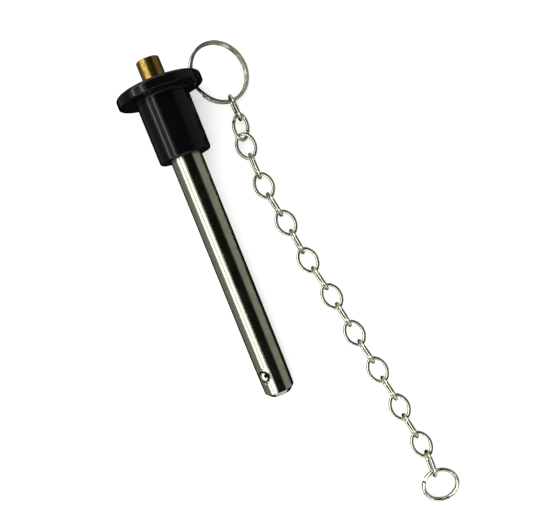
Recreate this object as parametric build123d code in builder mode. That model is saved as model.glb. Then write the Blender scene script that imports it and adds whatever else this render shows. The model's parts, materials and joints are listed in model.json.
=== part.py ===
from build123d import *
import math
import os

# A ball lock pin with a button handle, a split ring and a chain that ends in an open jump ring.
#
# Millimetres, +Z up. The pin lies on its side on a floor, on the rim of its flange and the edge
# of its nose, so its axis runs along +X and dips a little towards the nose. The origin is on that
# axis, at the handle's shoulder, where the shank comes out. The chain lies beside it, at +Y.

# Driving dimensions of the shank
shank_diameter = 10.0
straight_length = 69.0  # plain cylinder, from the handle's shoulder
nose_relief = 0.1  # how far the nose narrows over its length, on the radius
nose_chamfer = 1.5
end_wall = 2.0  # closed end of the bore
spigot_length = 8.0  # the part of the shank inside the handle
spigot_step = 0.4  # how far the spigot is below the shank, on the radius

# Driving dimensions of the balls and the spindle
ball_diameter = 3.5
ball_setback = 2.8  # from the end of the plain cylinder to the balls
ball_projection = 1.0  # how far a locked ball stands out of the shank
ball_sink = 0.05  # how far a released ball is below the shank's surface
ball_play = 0.05
stake_radius = 2.4  # of the ring mark that holds each ball in its seat
stake_tool_radius = 0.35
stake_depth = 0.15
spindle_play = 0.15
spindle_end_gap = 0.4  # between the pressed spindle and the end of the bore
tenon_diameter = 3.2  # the spindle's end in the button
tenon_length = 7.0

# Driving dimensions of the handle
handle_length = 23.0
body_diameter = 16.5
body_rounding = 1.0
mouth_play = 0.1  # round the shank, where it enters the handle
flange_diameter = 27.0
flange_thickness = 3.3
flange_rounding = 1.2  # on the button's side
flange_back_rounding = 0.5  # on the shank's side
neck_fillet = 0.8  # between the body and the flange
lanyard_hole_diameter = 2.8
lanyard_hole_radius = 10.8  # from the pin's axis
lanyard_hole_chamfer = 0.25
lanyard_hole_angle = 15.0  # below the horizontal

# Driving dimensions of the button and its spring
button_diameter = 7.3
button_projection = 8.2
button_travel = 3.6
button_rounding = 0.4
button_play = 0.1
collar_thickness = 2.0
collar_play = 0.15
collar_gap = 0.05  # between the collar and the roof of the handle
spring_wire = 0.7
spring_turns = 5.5
spring_play = 0.25
spring_end_gap = 0.02

# Driving dimensions of the split ring, a flat wire wound in two layers
ring_outer_diameter = 20.0
ring_wire_width = 1.1
ring_wire_thickness = 0.8
ring_wire_rounding = 0.25
ring_layer_gap = 0.04
ring_jog_angle = 26.0  # where the wire steps from the lower layer to the upper one
ring_jog_place = 214.0  # about the ring, from its far side
ring_floor_gap = 0.1

# Driving dimensions of the chain and its jump ring
link_length = 9.1
link_width = 6.8
link_wire = 1.05
link_end_radius = 2.05  # of the wire's centre line, round each end
link_play = 0.12
twisted_link_play = 0.75  # where two links hook at an angle well under 90 degrees
ring_link_play = 0.22  # where the first link hooks on the split ring
link_count = 20
jump_ring_outer_diameter = 12.2
jump_ring_wire = 1.25
jump_ring_gap = 1.3
jump_ring_gap_place = 42.0  # about the ring, from where the last link holds it

# The way each link points, seen from above, in degrees from +X towards +Y
link_headings = [4, -14, 2, 3, 4, 12, 10, 8, 11, 13, 12, 10, 10, 12, 10, 11, 6, 10, 11, -3]
# How far each link is rolled about its length, in degrees: 0 lies flat and 90 stands on edge.
# The first two are twisted, and from there on flat links and standing links take turns.
ring_link_roll = 80.0
twisted_link_roll = -46.0
first_flat_roll = 2.0
flat_roll = -9.0
standing_roll = 81.0
ring_link_place = 3.0  # where the first link sits on the ring, from the pin's direction
jump_ring_heading = 8.0

# Sizes that follow from them
shank_radius = shank_diameter / 2
spigot_radius = shank_radius - spigot_step
body_radius = body_diameter / 2
mouth_depth = spigot_step + mouth_play  # a countersink
flange_radius = flange_diameter / 2
lanyard_hole_wall = lanyard_hole_diameter / 2

ball_radius = ball_diameter / 2
ball_seat_radius = ball_radius + ball_play
ball_locked_radius = shank_radius + ball_projection - ball_radius
ball_travel = ball_projection + ball_sink
ball_x = straight_length + ball_setback

spindle_radius = ball_locked_radius - ball_seat_radius
spindle_nose = ball_radius  # how far the spindle reaches past the balls
bore_radius = spindle_radius + spindle_play
bore_end = ball_x + spindle_nose + button_travel + spindle_end_gap
nose_x = bore_end + end_wall

roof_x = -(handle_length - flange_thickness)
collar_top = roof_x + collar_gap
collar_bottom = collar_top + collar_thickness
collar_radius = spigot_radius - collar_play
button_radius = button_diameter / 2
spring_radius = spigot_radius - spring_play - spring_wire / 2

# The ramp that lets the balls in is a cone parallel to their centres' path, one seat radius away
ramp_slope = ball_travel / button_travel
ramp_angle = math.atan(ramp_slope)
ramp_radius_at_ball = ball_locked_radius - ball_seat_radius / math.cos(ramp_angle)
ramp_top = (spindle_radius - ramp_radius_at_ball) / ramp_slope
ramp_foot = -button_travel - ball_play - ball_radius * math.sin(ramp_angle) / 2
neck_radius = ramp_radius_at_ball + ramp_slope * ramp_foot
released_step = ball_locked_radius - ball_travel - spindle_radius
neck_end = -button_travel - math.sqrt(ball_seat_radius**2 - released_step**2) - spindle_play

# The pin's tilt: a line that touches the flange's rounded rim and the edge of the nose
nose_edge_x = nose_x - nose_chamfer
nose_edge_radius = shank_radius - nose_relief
rim_run = nose_edge_x - (roof_x - flange_back_rounding)
rim_drop = flange_radius - flange_back_rounding - nose_edge_radius
pin_tilt = math.atan2(rim_drop, rim_run) + math.asin(
    flange_back_rounding / math.hypot(rim_run, rim_drop)
)
pin_direction = Vector(math.cos(pin_tilt), 0, -math.sin(pin_tilt))
pin_up = Vector(math.sin(pin_tilt), 0, math.cos(pin_tilt))
pin_side = Vector(0, 1, 0)
floor_z = (pin_direction * nose_edge_x - pin_up * nose_edge_radius).Z

pin_axis = Axis((0, 0, 0), pin_direction)
pin_profile = Plane(origin=(0, 0, 0), x_dir=pin_direction, z_dir=-pin_side)

# The lower ball rests against the floor, which stops the pin from rolling
ball_height = (pin_direction * ball_x).Z - floor_z - ball_seat_radius
ball_roll = math.acos(min(1.0, ball_height / (ball_locked_radius * math.cos(pin_tilt))))
upper_ball_direction = pin_up * math.cos(ball_roll) - pin_side * math.sin(ball_roll)


def across_pin(x, direction):
    """A plane at right angles to the pin, x along it, with its own X along direction."""
    return Plane(origin=pin_direction * x, x_dir=direction, z_dir=pin_direction)


def save(piece, name):
    piece.part.label = name
    export_step(piece.part, "parts/" + name + ".step")


os.makedirs("parts", exist_ok=True)

# Handle: a turned body with a flange, one piece, bored out from the shank's side
with BuildPart() as handle:
    with BuildSketch(pin_profile):
        with BuildLine():
            Polyline(
                (-mouth_depth, spigot_radius),
                (0, shank_radius + mouth_play),
                (0, body_radius),
                (roof_x, body_radius),
                (roof_x, flange_radius),
                (-handle_length, flange_radius),
                (-handle_length, button_radius + button_play),
                (roof_x, button_radius + button_play),
                (roof_x, spigot_radius),
                close=True,
            )
        make_face()
    revolve(axis=pin_axis)
    rims = handle.edges().filter_by(GeomType.CIRCLE).filter_by(
        lambda edge: abs(edge.radius - flange_radius) < 0.01
    )
    fillet(rims.sort_by(pin_axis)[0], flange_rounding)
    fillet(rims.sort_by(pin_axis)[-1], flange_back_rounding)
    body_edges = handle.edges().filter_by(GeomType.CIRCLE).filter_by(
        lambda edge: abs(edge.radius - body_radius) < 0.01
    )
    fillet(body_edges.sort_by(pin_axis)[0], neck_fillet)
    fillet(body_edges.sort_by(pin_axis)[-1], body_rounding)
    lanyard_direction = (
        pin_side * math.cos(math.radians(lanyard_hole_angle))
        - pin_up * math.sin(math.radians(lanyard_hole_angle))
    )
    with BuildSketch(across_pin(roof_x - flange_thickness / 2, lanyard_direction)):
        with Locations((lanyard_hole_radius, 0)):
            Circle(lanyard_hole_wall)
    extrude(amount=flange_thickness, both=True, mode=Mode.SUBTRACT)
    hole_edges = handle.edges().filter_by(GeomType.CIRCLE).filter_by(
        lambda edge: abs(edge.radius - lanyard_hole_wall) < 0.01
    )
    chamfer(hole_edges, lanyard_hole_chamfer)
save(handle, "handle")

# Shank: a bored tube with a closed nose and a ball seat through each wall
with BuildPart() as shank:
    with BuildSketch(pin_profile):
        with BuildLine():
            Polyline(
                (-spigot_length, bore_radius),
                (-spigot_length, spigot_radius),
                (0, spigot_radius),
                (0, shank_radius),
                (straight_length, shank_radius),
                (nose_edge_x, nose_edge_radius),
                (nose_x, nose_edge_radius - nose_chamfer),
                (nose_x, 0),
                (bore_end, 0),
                (bore_end, bore_radius),
                close=True,
            )
        make_face()
    revolve(axis=pin_axis)
    for side in (1, -1):
        outwards = upper_ball_direction * side
        seat_centre = pin_direction * ball_x + outwards * ball_locked_radius
        with BuildSketch(Plane(origin=seat_centre, x_dir=pin_direction, z_dir=-outwards)):
            Circle(ball_seat_radius)
        extrude(amount=ball_locked_radius, mode=Mode.SUBTRACT)
        with Locations(seat_centre):
            Sphere(ball_seat_radius, mode=Mode.SUBTRACT)
        stake_height = shank_radius - stake_depth + stake_tool_radius
        stake_centre = pin_direction * ball_x + outwards * stake_height
        with Locations(Plane(origin=stake_centre, x_dir=pin_direction, z_dir=outwards)):
            Torus(stake_radius, stake_tool_radius, mode=Mode.SUBTRACT)
save(shank, "shank")

# Spindle: it slides in the shank, holds the balls out with its nose and lets them in at its neck
with BuildPart() as spindle:
    with BuildSketch(pin_profile):
        with BuildLine():
            Polyline(
                (collar_bottom - tenon_length, 0),
                (collar_bottom - tenon_length, tenon_diameter / 2),
                (collar_bottom, tenon_diameter / 2),
                (collar_bottom, spindle_radius),
                (ball_x + neck_end, spindle_radius),
                (ball_x + neck_end, neck_radius),
                (ball_x + ramp_foot, neck_radius),
                (ball_x + ramp_top, spindle_radius),
                (ball_x + spindle_nose, spindle_radius),
                (ball_x + spindle_nose, 0),
                close=True,
            )
        make_face()
    revolve(axis=pin_axis)
save(spindle, "spindle")

# Push button: its collar stays under the roof of the handle
with BuildPart() as push_button:
    with BuildSketch(pin_profile):
        with BuildLine():
            Polyline(
                (-handle_length - button_projection, 0),
                (-handle_length - button_projection, button_radius),
                (collar_top, button_radius),
                (collar_top, collar_radius),
                (collar_bottom, collar_radius),
                (collar_bottom, tenon_diameter / 2),
                (collar_bottom - tenon_length, tenon_diameter / 2),
                (collar_bottom - tenon_length, 0),
                close=True,
            )
        make_face()
    revolve(axis=pin_axis)
    fillet(
        push_button.edges().filter_by(GeomType.CIRCLE).sort_by(pin_axis)[0],
        button_rounding,
    )
save(push_button, "push_button")

# Return spring: between the button's collar and the end of the shank
with BuildPart() as return_spring:
    coil_length = -spigot_length - collar_bottom - spring_wire - 2 * spring_end_gap
    with BuildLine() as coil:
        Helix(
            pitch=coil_length / spring_turns,
            height=coil_length,
            radius=spring_radius,
            center=pin_direction * (collar_bottom + spring_wire / 2 + spring_end_gap),
            direction=pin_direction,
        )
    with BuildSketch(Plane(origin=coil.line @ 0, z_dir=coil.line % 0)):
        Circle(spring_wire / 2)
    sweep(is_frenet=True)
save(return_spring, "return_spring")

# Locking balls, locked outwards
for number, side in ((1, 1), (2, -1)):
    ball_centre = pin_direction * ball_x + upper_ball_direction * side * ball_locked_radius
    with BuildPart() as locking_ball:
        with Locations(ball_centre):
            Sphere(ball_radius)
    save(locking_ball, "locking_ball_" + str(number))

# Split ring: through the flange's hole, with its far side on the floor
ring_radius = (ring_outer_diameter - ring_wire_width) / 2
ring_layer_step = ring_wire_thickness + ring_layer_gap
ring_half_height = (ring_layer_step + ring_wire_thickness) / 2
lanyard_centre = (
    pin_direction * (roof_x - flange_thickness / 2) + lanyard_direction * lanyard_hole_radius
)
ring_reach = ring_radius + ring_outer_diameter / 2
ring_drop = (lanyard_centre.Z - floor_z - ring_floor_gap) / math.cos(pin_tilt)
ring_tilt = math.asin(ring_drop / math.hypot(ring_reach, ring_half_height)) - math.atan2(
    ring_half_height, ring_reach
)
ring_outwards = pin_side * math.cos(ring_tilt) - pin_up * math.sin(ring_tilt)
ring_normal = pin_side * math.sin(ring_tilt) + pin_up * math.cos(ring_tilt)
ring_centre = lanyard_centre + ring_outwards * ring_radius
ring_plane = Plane(origin=ring_centre, x_dir=ring_outwards, z_dir=ring_normal)



def ring_section(angle, height):
    """The plane across the ring's wire at an angle about the ring, height above its middle."""
    turn = math.radians(angle)
    outwards = ring_plane.x_dir * math.cos(turn) + ring_plane.y_dir * math.sin(turn)
    along = ring_plane.y_dir * math.cos(turn) - ring_plane.x_dir * math.sin(turn)
    place = ring_centre + outwards * ring_radius + ring_normal * height
    return Plane(origin=place, x_dir=outwards, z_dir=along)


with BuildPart() as split_ring:
    for height in (-ring_layer_step / 2, ring_layer_step / 2):
        with BuildSketch(ring_section(ring_jog_place, height)):
            RectangleRounded(ring_wire_width, ring_wire_thickness, ring_wire_rounding)
        revolve(axis=Axis(ring_centre, ring_normal), revolution_arc=360 - ring_jog_angle)
    for share in (0, 0.5, 1):
        jog_angle = ring_jog_place + ring_jog_angle * (share - 1)
        with BuildSketch(ring_section(jog_angle, ring_layer_step * (share - 0.5))):
            RectangleRounded(ring_wire_width, ring_wire_thickness, ring_wire_rounding)
    loft()
save(split_ring, "split_ring")

# Chain links: closed ovals of round wire, four arcs each, hooked through one another
link_reach = (link_length - link_wire) / 2
link_spread = (link_width - link_wire) / 2
end_centre = link_reach - link_end_radius
side_radius = (end_centre**2 + link_spread**2 - link_end_radius**2) / (
    2 * (link_spread - link_end_radius)
)
side_centre = side_radius - link_spread
join_angle = math.degrees(math.atan2(side_centre, end_centre))


def link_plane(middle, heading, descent, roll):
    """A link's own plane: x along the link, y across its opening."""
    turn = math.radians(heading)
    lean = math.radians(roll)
    forwards = Vector(
        math.cos(descent) * math.cos(turn), math.cos(descent) * math.sin(turn), -math.sin(descent)
    )
    left = Vector(-math.sin(turn), math.cos(turn), 0)
    above = forwards.cross(left)
    return Plane(
        origin=middle, x_dir=forwards, z_dir=above * math.cos(lean) - left * math.sin(lean)
    )


# The first link hangs inside the ring, and the chain comes down to the floor over three links
place_angle = math.radians(ring_link_place)
ring_link_outwards = pin_direction * math.cos(place_angle) + ring_outwards * math.sin(place_angle)
hook_radius = ring_outer_diameter / 2 - ring_wire_width - link_wire / 2 - ring_link_play
end_sag = (link_end_radius - link_wire / 2) - math.sqrt(
    (link_end_radius - link_wire / 2) ** 2 - ring_half_height**2
)
chain_start = ring_centre + ring_link_outwards * (hook_radius - end_sag)
standing_height = link_wire / 2 + link_spread * math.sin(math.radians(standing_roll))
chain_drop = chain_start.Z - floor_z - standing_height
descent_run = 6 * link_reach - 2.5 * (link_wire + link_play) - 2 * twisted_link_play
first_descent = math.asin(chain_drop / descent_run)

link_planes = []
hook = chain_start
previous_direction = None
for number, heading in enumerate(link_headings[:link_count]):
    roll = standing_roll if number % 2 else flat_roll
    play = link_play
    descent = 0.0
    if number < 3:
        roll = (ring_link_roll, twisted_link_roll, first_flat_roll)[number]
        descent = first_descent
    if number in (1, 2):
        play = twisted_link_play
    plane = link_plane((0, 0, 0), heading, descent, roll)
    if previous_direction is not None:
        pull = (previous_direction + plane.x_dir).normalized()
        hook = hook - pull * (link_wire + play)
    plane = link_plane(hook + plane.x_dir * link_reach, heading, descent, roll)
    link_planes.append(plane)
    hook = plane.origin + plane.x_dir * link_reach
    previous_direction = plane.x_dir

for number, plane in enumerate(link_planes, start=1):
    with BuildPart() as chain_link:
        with BuildLine(plane) as link_route:
            CenterArc((end_centre, 0), link_end_radius, -join_angle, 2 * join_angle)
            CenterArc((0, -side_centre), side_radius, join_angle, 180 - 2 * join_angle)
            CenterArc((-end_centre, 0), link_end_radius, 180 - join_angle, 2 * join_angle)
            CenterArc((0, side_centre), side_radius, 180 + join_angle, 180 - 2 * join_angle)
        with BuildSketch(
            Plane(origin=link_route.wires()[0] @ 0, z_dir=link_route.wires()[0] % 0)
        ):
            Circle(link_wire / 2)
        sweep(path=link_route.wires()[0])
    save(chain_link, "chain_link_" + f"{number:02d}")

# Jump ring: an open ring of round wire through the last link, with its far side on the floor
jump_radius = (jump_ring_outer_diameter - jump_ring_wire) / 2
jump_hook = hook - previous_direction * ((link_wire + jump_ring_wire) / 2 + link_play)
jump_drop = jump_hook.Z - floor_z - jump_ring_wire / 2
jump_plane = link_plane(
    jump_hook, jump_ring_heading, math.asin(jump_drop / (2 * jump_radius)), 0
)
jump_plane = Plane(
    origin=jump_hook + jump_plane.x_dir * jump_radius,
    x_dir=-jump_plane.x_dir,
    z_dir=jump_plane.z_dir,
)
half_gap = math.degrees(jump_ring_gap / 2 / jump_radius)
with BuildPart() as jump_ring:
    with BuildLine(jump_plane) as jump_route:
        CenterArc((0, 0), jump_radius, jump_ring_gap_place + half_gap, 360 - 2 * half_gap)
    with BuildSketch(Plane(origin=jump_route.line @ 0, z_dir=jump_route.line % 0)):
        Circle(jump_ring_wire / 2)
    sweep()
save(jump_ring, "jump_ring")
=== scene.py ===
import json
import math

import bpy
import numpy as np
from mathutils import Matrix, Vector


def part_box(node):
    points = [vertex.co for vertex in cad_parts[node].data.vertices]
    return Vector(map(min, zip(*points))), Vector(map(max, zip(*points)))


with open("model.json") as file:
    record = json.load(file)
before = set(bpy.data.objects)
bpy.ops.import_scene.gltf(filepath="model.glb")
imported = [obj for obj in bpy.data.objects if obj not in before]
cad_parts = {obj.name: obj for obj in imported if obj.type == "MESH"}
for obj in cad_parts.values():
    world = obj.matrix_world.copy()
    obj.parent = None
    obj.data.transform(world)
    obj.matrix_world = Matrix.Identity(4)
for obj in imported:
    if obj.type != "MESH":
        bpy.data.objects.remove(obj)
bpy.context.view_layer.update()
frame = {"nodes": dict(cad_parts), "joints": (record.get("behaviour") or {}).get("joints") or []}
nodes = frame["nodes"]

# Handle: a turned body and flange in one piece of aluminium, black anodised, with a faint
# grain left by the turning tool. The shank is screwed into its front end.
button_press = next(joint for joint in frame["joints"] if joint["name"] == "button_press")
pin_axis = Vector(button_press["axis"])
pin_tilt = math.atan2(-pin_axis.z, pin_axis.x)
handle_black = (0.0025, 0.0025, 0.003, 1)
handle_mark_depth = 6e-7


def new_finish(name):
    """A material that holds one Principled shader and its output, with its tree and shader."""
    material = bpy.data.materials.new(name)
    material.use_nodes = True
    tree = material.node_tree
    tree.nodes.clear()
    output = tree.nodes.new("ShaderNodeOutputMaterial")
    shader = tree.nodes.new("ShaderNodeBsdfPrincipled")
    tree.links.new(shader.outputs["BSDF"], output.inputs["Surface"])
    return material, tree, shader


def new_effect(name, inputs, outputs):
    """An empty shader node group with these named sockets, and its input and output nodes."""
    group = bpy.data.node_groups.new(name, "ShaderNodeTree")
    for socket, kind, value in inputs:
        made = group.interface.new_socket(name=socket, in_out="INPUT", socket_type=kind)
        made.default_value = value
    for socket, kind in outputs:
        group.interface.new_socket(name=socket, in_out="OUTPUT", socket_type=kind)
    return group, group.nodes.new("NodeGroupInput"), group.nodes.new("NodeGroupOutput")


def feed(tree, socket, value):
    """Gives an input another node's output, or else a number, a vector or a colour."""
    if isinstance(value, bpy.types.NodeSocket):
        tree.links.new(value, socket)
    else:
        socket.default_value = value


def maths(tree, operation, *values):
    """The result of one Math node on outputs or numbers."""
    node = tree.nodes.new("ShaderNodeMath")
    node.operation = operation
    for socket, value in zip(node.inputs, values):
        feed(tree, socket, value)
    return node.outputs["Value"]


def vectors(tree, operation, *values):
    """One Vector Math node on outputs or vectors."""
    node = tree.nodes.new("ShaderNodeVectorMath")
    node.operation = operation
    for socket, value in zip(node.inputs, values):
        feed(tree, socket, value)
    return node


def blend(tree, kind, share, clean, worn):
    """The result of one Mix node, RGBA or FLOAT: clean where share is 0 and worn where it is 1."""
    node = tree.nodes.new("ShaderNodeMix")
    node.data_type = kind
    in_use = [socket for socket in node.inputs if socket.enabled]
    for socket, value in zip(in_use, (share, clean, worn)):
        feed(tree, socket, value)
    return next(socket for socket in node.outputs if socket.enabled)


# Turning marks: fine rings round the pin. Noise is squeezed along the pin's axis and drawn out
# across it, so that it changes a little round the pin too.
turning_marks, marks_in, marks_out = new_effect(
    "turning_marks",
    [("Marks per Metre", "NodeSocketFloat", 4000.0), ("Drift", "NodeSocketFloat", 0.02)],
    [("Height", "NodeSocketFloat")],
)
marks_along = marks_in.outputs["Marks per Metre"]
marks_across = maths(turning_marks, "MULTIPLY", marks_along, marks_in.outputs["Drift"])
marks_rates = turning_marks.nodes.new("ShaderNodeCombineXYZ")
for direction, rate in (("X", marks_along), ("Y", marks_across), ("Z", marks_across)):
    feed(turning_marks, marks_rates.inputs[direction], rate)
marks_place = turning_marks.nodes.new("ShaderNodeTexCoord").outputs["Object"]
marks_turn = turning_marks.nodes.new("ShaderNodeMapping")
marks_turn.inputs["Rotation"].default_value = (0, -pin_tilt, 0)
feed(turning_marks, marks_turn.inputs["Vector"], marks_place)
marks_squeeze = vectors(
    turning_marks, "MULTIPLY", marks_turn.outputs["Vector"], marks_rates.outputs["Vector"]
)
marks_noise = turning_marks.nodes.new("ShaderNodeTexNoise")
marks_noise.inputs["Scale"].default_value = 1.0
marks_noise.inputs["Detail"].default_value = 2.0
feed(turning_marks, marks_noise.inputs["Vector"], marks_squeeze.outputs["Vector"])
feed(turning_marks, marks_out.inputs["Height"], marks_noise.outputs["Fac"])

# Ageing: patches of a duller, rougher metal over the clean one, with a fine pitting.
ageing, ageing_in, ageing_out = new_effect(
    "ageing",
    [
        ("Clean Color", "NodeSocketColor", (0.6, 0.6, 0.6, 1)),
        ("Dull Color", "NodeSocketColor", (0.4, 0.4, 0.4, 1)),
        ("Clean Roughness", "NodeSocketFloat", 0.1),
        ("Dull Roughness", "NodeSocketFloat", 0.3),
        ("Patches per Metre", "NodeSocketFloat", 300.0),
        ("Spread", "NodeSocketFloat", 0.5),
    ],
    [
        ("Color", "NodeSocketColor"),
        ("Roughness", "NodeSocketFloat"),
        ("Height", "NodeSocketFloat"),
    ],
)
ageing_place = ageing.nodes.new("ShaderNodeTexCoord").outputs["Object"]
ageing_noise = ageing.nodes.new("ShaderNodeTexNoise")
ageing_noise.inputs["Detail"].default_value = 5.0
ageing_noise.inputs["Roughness"].default_value = 0.6
feed(ageing, ageing_noise.inputs["Vector"], ageing_place)
feed(ageing, ageing_noise.inputs["Scale"], ageing_in.outputs["Patches per Metre"])
ageing_mask = ageing.nodes.new("ShaderNodeMapRange")
ageing_mask.interpolation_type = "SMOOTHSTEP"
ageing_mask.inputs["From Min"].default_value = 0.35
ageing_mask.inputs["From Max"].default_value = 0.7
feed(ageing, ageing_mask.inputs["Value"], ageing_noise.outputs["Fac"])
ageing_share = maths(
    ageing, "MULTIPLY", ageing_mask.outputs["Result"], ageing_in.outputs["Spread"]
)
for look, kind in (("Color", "RGBA"), ("Roughness", "FLOAT")):
    clean, dull = ageing_in.outputs["Clean " + look], ageing_in.outputs["Dull " + look]
    feed(ageing, ageing_out.inputs[look], blend(ageing, kind, ageing_share, clean, dull))
feed(ageing, ageing_out.inputs["Height"], ageing_noise.outputs["Fac"])


def place_effect(tree, group, **values):
    """The effect as a node in a material, with its inputs set; underscores stand for spaces."""
    node = tree.nodes.new("ShaderNodeGroup")
    node.node_tree = group
    for socket, value in values.items():
        node.inputs[socket.replace("_", " ")].default_value = value
    return node


def emboss(tree, shader, height, depth):
    """A Bump node between a height and the shader's normal, with its depth in metres."""
    bump = tree.nodes.new("ShaderNodeBump")
    bump.inputs["Distance"].default_value = depth
    feed(tree, bump.inputs["Height"], height)
    feed(tree, shader.inputs["Normal"], bump.outputs["Normal"])


def finish_node(name, material):
    """Puts a finish on a CAD node, in place of any that it has."""
    mesh = nodes[name].data
    mesh.materials.clear()
    mesh.materials.append(material)


black_anodising, tree, shader = new_finish("black_anodising")
shader.inputs["Base Color"].default_value = handle_black
shader.inputs["Specular IOR Level"].default_value = 0.14
anodising_age = place_effect(
    tree, ageing, Clean_Roughness=0.07, Dull_Roughness=0.15, Patches_per_Metre=500.0, Spread=0.8
)
feed(tree, shader.inputs["Roughness"], anodising_age.outputs["Roughness"])
marks = place_effect(tree, turning_marks, Marks_per_Metre=6000.0, Drift=0.01)
emboss(tree, shader, marks.outputs["Height"], handle_mark_depth)
finish_node("handle", black_anodising)

# Shank: stainless steel, centreless ground, so its marks run round it, with a painted shade ring
# round the mouths of the two ball seats for the gap and shadow there. The spindle and the spring
# inside are plain drawn steel.
shank_mark_depth = 1.5e-6
# Painted shade: a near-black colour for the gap and shadow at the ball seats, with a rougher
# finish there.
seat_shade_black = (0.012, 0.012, 0.01, 1)
seat_shade_roughness = 0.45
seat_shade_ring = {"Mouth_Radius": 0.00172, "Half_Width": 0.00022, "Reach": 0.0004}
ball_names = ("locking_ball_1", "locking_ball_2")

# Seat shade: painted shade for the gap and shadow round the balls, a band at the seats' mouth
# radius from the line through both balls. It is whole up to its half width on either side, and
# gone at its reach.
ball_centres = [sum(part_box(name), Vector()) / 2 for name in ball_names]
ball_line = (ball_centres[0] - ball_centres[1]).normalized()
ball_middle = sum(ball_centres, Vector()) / 2
painted_seat_shade, shade_in, shade_out = new_effect(
    "painted_seat_shade",
    [
        ("Mouth Radius", "NodeSocketFloat", 0.0017),
        ("Half Width", "NodeSocketFloat", 0.0002),
        ("Reach", "NodeSocketFloat", 0.0004),
    ],
    [("Mask", "NodeSocketFloat")],
)
shade_place = painted_seat_shade.nodes.new("ShaderNodeTexCoord").outputs["Object"]
from_middle = vectors(painted_seat_shade, "SUBTRACT", shade_place, ball_middle).outputs["Vector"]
off_line = vectors(painted_seat_shade, "CROSS_PRODUCT", from_middle, ball_line).outputs["Vector"]
line_distance = vectors(painted_seat_shade, "LENGTH", off_line).outputs["Value"]
past_mouth = maths(painted_seat_shade, "SUBTRACT", line_distance, shade_in.outputs["Mouth Radius"])
shade_band = painted_seat_shade.nodes.new("ShaderNodeMapRange")
shade_band.inputs["To Min"].default_value = 1.0
shade_band.inputs["To Max"].default_value = 0.0
feed(painted_seat_shade, shade_band.inputs["Value"], maths(painted_seat_shade, "ABSOLUTE", past_mouth))
feed(painted_seat_shade, shade_band.inputs["From Min"], shade_in.outputs["Half Width"])
feed(painted_seat_shade, shade_band.inputs["From Max"], shade_in.outputs["Reach"])
feed(painted_seat_shade, shade_out.inputs["Mask"], shade_band.outputs["Result"])


def shade_seats(tree, shader, color, roughness):
    """Lays the painted shade of the seat gaps over a steel's own colour and roughness."""
    seat_shade_mask = place_effect(tree, painted_seat_shade, **seat_shade_ring).outputs["Mask"]
    # Painted shade: the steel's colour goes to near black in the band round the seats.
    shaded_color = blend(tree, "RGBA", seat_shade_mask, color, seat_shade_black)
    shaded_roughness = blend(tree, "FLOAT", seat_shade_mask, roughness, seat_shade_roughness)
    feed(tree, shader.inputs["Base Color"], shaded_color)
    feed(tree, shader.inputs["Roughness"], shaded_roughness)


ground_steel, tree, shader = new_finish("ground_steel")
shader.inputs["Metallic"].default_value = 1.0
steel_age = place_effect(
    tree,
    ageing,
    Clean_Color=(0.42, 0.42, 0.37, 1),
    Dull_Color=(0.34, 0.34, 0.285, 1),
    Clean_Roughness=0.13,
    Dull_Roughness=0.22,
    Patches_per_Metre=260.0,
    Spread=0.7,
)
shade_seats(tree, shader, steel_age.outputs["Color"], steel_age.outputs["Roughness"])
marks = place_effect(tree, turning_marks, Marks_per_Metre=5000.0, Drift=0.03)
emboss(tree, shader, marks.outputs["Height"], shank_mark_depth)
finish_node("shank", ground_steel)

drawn_steel, tree, shader = new_finish("drawn_steel")
shader.inputs["Metallic"].default_value = 1.0
shader.inputs["Base Color"].default_value = (0.35, 0.35, 0.33, 1)
shader.inputs["Roughness"].default_value = 0.3
for name in ("spindle", "return_spring"):
    finish_node(name, drawn_steel)

# Locking balls: hardened steel, lapped bright, with painted shade where they meet their seats.
lapped_steel = (0.6, 0.595, 0.56, 1)
lapped_roughness = 0.06
ball_steel, tree, shader = new_finish("ball_steel")
shader.inputs["Metallic"].default_value = 1.0
shade_seats(tree, shader, lapped_steel, lapped_roughness)
for name in ball_names:
    finish_node(name, ball_steel)

# Push button: turned brass, gone a little brown where fingers press it. It is screwed on
# the spindle's end and slides in the handle.
brass_pit_depth = 4e-6


def new_metal(name, **wear):
    """A bare metal finish with ageing, as new_finish gives it, and the ageing's height."""
    material, tree, shader = new_finish(name)
    shader.inputs["Metallic"].default_value = 1.0
    age = place_effect(tree, ageing, **wear)
    feed(tree, shader.inputs["Base Color"], age.outputs["Color"])
    feed(tree, shader.inputs["Roughness"], age.outputs["Roughness"])
    return material, tree, shader, age.outputs["Height"]


button_brass, tree, shader, pits = new_metal(
    "button_brass",
    Clean_Color=(0.26, 0.18, 0.05, 1),
    Dull_Color=(0.13, 0.08, 0.02, 1),
    Clean_Roughness=0.26,
    Dull_Roughness=0.42,
    Patches_per_Metre=900.0,
    Spread=0.6,
)
emboss(tree, shader, pits, brass_pit_depth)
finish_node("push_button", button_brass)

# Split ring and jump ring: spring wire, nickel plated and polished. The split ring runs through
# the flange's hole and the jump ring ends the chain.
nickel_wear = {
    "Clean_Color": (0.56, 0.545, 0.475, 1),
    "Dull_Color": (0.26, 0.24, 0.175, 1),
    "Clean_Roughness": 0.05,
    "Dull_Roughness": 0.11,
    "Spread": 0.5,
}
ring_nickel, *_ = new_metal("ring_nickel", Patches_per_Metre=400.0, **nickel_wear)
for name in ("split_ring", "jump_ring"):
    finish_node(name, ring_nickel)

# Chain: twenty welded links of round wire with the rings' nickel plating, which on the links
# is finely pitted.
chain_pit_depth = 1.5e-6
chain_nickel, tree, shader, pits = new_metal(
    "chain_nickel", Patches_per_Metre=500.0, **nickel_wear
)
emboss(tree, shader, pits, chain_pit_depth)
for name in nodes:
    if name.startswith("chain_link"):
        finish_node(name, chain_nickel)

# Floor: a plain pale sheet under the whole part, at the height that it rests on. The camera
# sees it a little brighter than it is lit, so that it goes over into the white of the room.
floor_half = 1.2
floor_height = min(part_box(name)[0].z for name in nodes)
floor_lift = 0.3


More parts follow.
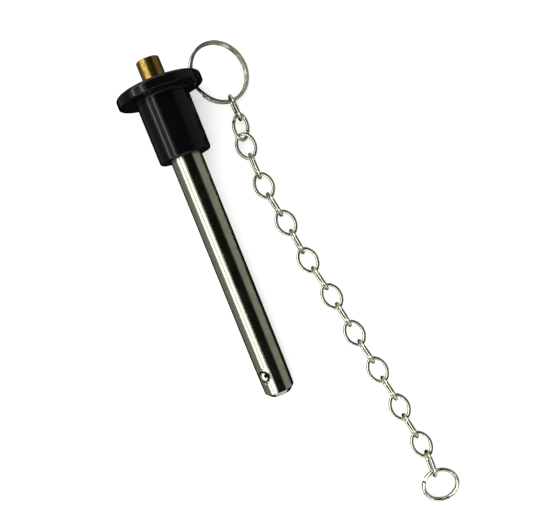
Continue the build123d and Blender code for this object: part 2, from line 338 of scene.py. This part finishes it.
def new_piece(name, points, faces):
    """A mesh object from an array of points and one of faces, in its place."""
    mesh = bpy.data.meshes.new(name)
    mesh.from_pydata(points.tolist(), [], faces.tolist())
    piece = bpy.data.objects.new(name, mesh)
    bpy.context.scene.collection.objects.link(piece)
    return piece


corners = floor_half * np.array([(-1, -1, 0), (1, -1, 0), (1, 1, 0), (-1, 1, 0)], float)
corners[:, 2] = floor_height
floor = new_piece("floor", corners, np.array([[0, 1, 2, 3]]))
floor_paint, tree, shader = new_finish("floor_paint")
shader.inputs["Base Color"].default_value = (0.93, 0.93, 0.925, 1)
shader.inputs["Roughness"].default_value = 0.9
shader.inputs["Specular IOR Level"].default_value = 0.0
shader.inputs["Emission Color"].default_value = (1, 1, 1, 1)
floor_rays = tree.nodes.new("ShaderNodeLightPath")
lift = maths(tree, "MULTIPLY", floor_rays.outputs["Is Camera Ray"], floor_lift)
feed(tree, shader.inputs["Emission Strength"], lift)
floor.data.materials.append(floor_paint)
floor.visible_glossy = False

# Studio: a white room, with panels bent round the pin's length that only reflections see. Two
# bright strips with dimmer skirts stand on one side, a black card hangs overhead, and grey
# cards go round the horizon, with dark ones below them in place of the floor.
card_radius = 0.6
card_half_length = 0.9
card_steps = 12
cross_strip_radius = 0.55
cross_strip_half_angle = 40
cross_strip_glow = 7.0
strip_white = (1.0, 0.99, 0.93)
card_olive = (1.0, 1.0, 0.84)
room_glow = 0.85
seen_room_glow = 1.0


def arc_panel(name, angles, color, glow, radius=card_radius, reach=None):
    """A glowing part of a tube about X, as a grid of angle and length. Angles are in degrees
    from overhead towards +Y: y is the radius times the sine and z the radius times the cosine."""
    around = np.radians(np.linspace(*angles, card_steps + 1))
    along = np.array(reach or (-card_half_length, card_half_length))
    angle, length = np.meshgrid(around, along, indexing="ij")
    points = np.stack([length, radius * np.sin(angle), radius * np.cos(angle)], axis=-1)
    first_corners = 2 * np.arange(card_steps)[:, None]
    panel = new_piece(name, points.reshape(-1, 3), first_corners + np.array([[0, 1, 3, 2]]))
    material = bpy.data.materials.new(name)
    material.use_nodes = True
    tree = material.node_tree
    tree.nodes.clear()
    output = tree.nodes.new("ShaderNodeOutputMaterial")
    light = tree.nodes.new("ShaderNodeEmission")
    light.inputs["Color"].default_value = (*color, 1)
    light.inputs["Strength"].default_value = glow
    feed(tree, output.inputs["Surface"], light.outputs["Emission"])
    panel.data.materials.append(material)
    for ray in ("camera", "diffuse", "transmission", "shadow", "volume_scatter"):
        setattr(panel, "visible_" + ray, False)


for name, angles, color, glow in (
    ("under_card_near", (-180, -125), card_olive, 0.01),
    ("grey_card_near", (-125, -70), card_olive, 0.32),
    ("low_skirt", (-70, -60), card_olive, 1.1),
    ("low_strip", (-60, -53), strip_white, 9.0),
    ("between_strips", (-53, -34), card_olive, 1.5),
    ("high_strip", (-34, -27), strip_white, 9.0),
    ("high_skirt", (-27, -19), card_olive, 1.3),
    ("black_card", (-19, 52), card_olive, 0.008),
    ("card_edge", (52, 60), card_olive, 0.13),
    ("grey_card_far", (60, 118), card_olive, 0.42),
    ("under_card_far", (118, 180), card_olive, 0.01),
):
    arc_panel(name, angles, color, glow)

# Two more strips run across the pin, past its ends, for the wires that lie across it.
cross_angles = (-cross_strip_half_angle, cross_strip_half_angle)
for name, reach in (("cross_strip_handle", (-0.66, -0.54)), ("cross_strip_nose", (0.6, 0.72))):
    arc_panel(name, cross_angles, strip_white, cross_strip_glow, cross_strip_radius, reach)

# Top light: a large soft lamp over the pin, which casts its shadow and shows in nothing.
soft_top = bpy.data.lights.new("soft_top", "AREA")
soft_top.size = 0.9
soft_top.energy = 4.0
soft_top_object = bpy.data.objects.new("soft_top", soft_top)
soft_top_object.location = (0.03, -0.15, 0.9)
soft_top_object.rotation_euler = (math.radians(-9.5), 0, 0)
soft_top_object.visible_glossy = False
soft_top_object.visible_camera = False
bpy.context.scene.collection.objects.link(soft_top_object)

# Room: lights the pin a little below white, and is white where it is seen or reflected.
world = bpy.data.worlds.new("white_room")
bpy.context.scene.world = world
world.use_nodes = True
room = world.node_tree
room.nodes.clear()
room_output = room.nodes.new("ShaderNodeOutputWorld")
room_light = room.nodes.new("ShaderNodeBackground")
room_light.inputs["Color"].default_value = (1, 1, 1, 1)
rays = room.nodes.new("ShaderNodeLightPath").outputs
seen = maths(room, "MAXIMUM", rays["Is Camera Ray"], rays["Is Glossy Ray"])
seen = maths(room, "MAXIMUM", seen, rays["Is Transmission Ray"])
level = maths(room, "MULTIPLY_ADD", seen, seen_room_glow - room_glow, room_glow)
feed(room, room_light.inputs["Strength"], level)
feed(room, room_output.inputs["Surface"], room_light.outputs["Background"])

# Camera: close above the pin, a little to the chain's side, looking down.
camera_lens = 41.052
camera_place = (0.03716, 0.02671, 0.18525)
camera_right = Vector((0.3620, 0.9292, -0.0741)).normalized()
camera_forward = Vector((0.0145, -0.0851, -0.9963))
camera_forward -= camera_right * camera_forward.dot(camera_right)
camera_forward.normalize()
camera_up = camera_right.cross(camera_forward)
camera = bpy.data.cameras.new("camera")
camera.sensor_fit = "HORIZONTAL"
camera.sensor_width = 36.0
camera.lens = camera_lens
camera.clip_start = 0.01
camera_object = bpy.data.objects.new("camera", camera)
camera_turn = Matrix((camera_right, camera_up, -camera_forward)).transposed()
camera_object.matrix_world = Matrix.Translation(camera_place) @ camera_turn.to_4x4()
bpy.context.scene.collection.objects.link(camera_object)
bpy.context.scene.camera = camera_object
bpy.context.scene.view_settings.view_transform = "Standard"
